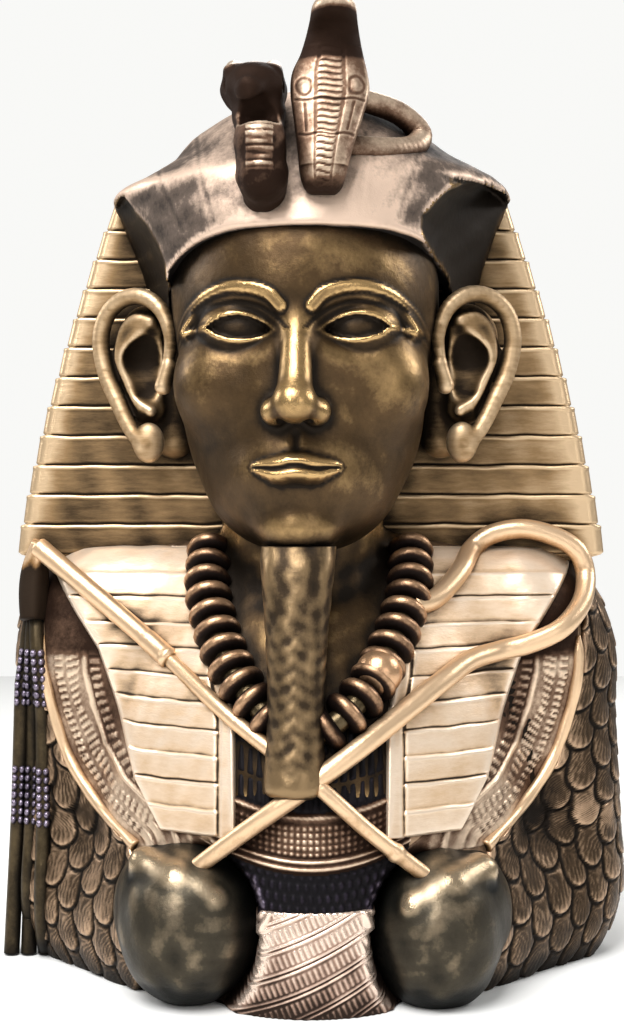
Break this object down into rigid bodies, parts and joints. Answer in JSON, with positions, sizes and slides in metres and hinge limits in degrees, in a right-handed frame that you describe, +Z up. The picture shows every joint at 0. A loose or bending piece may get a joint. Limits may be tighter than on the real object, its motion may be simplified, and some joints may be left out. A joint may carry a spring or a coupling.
{
  "type": "pharaoh bust",
  "caption": "Free-standing cast bust of an Egyptian king in a striped headcloth, with false beard, bead necklace, crossed crook and flail and feathered sleeves.",
  "frame": {"origin": "on the flat underside, below the middle of the neck", "axes": "+Z up, the face looks along -Y, +X to the viewer's right"},
  "size_m": [0.3453, 0.215, 0.504],
  "materials": {
    "antique_bronze": "cold-cast bronze with an antique patina: dark in the recesses, rubbed bright on the high places"
  },
  "bodies": {
    "root": {"pharaoh_bust": "antique_bronze"}
  },
  "joints": []
}
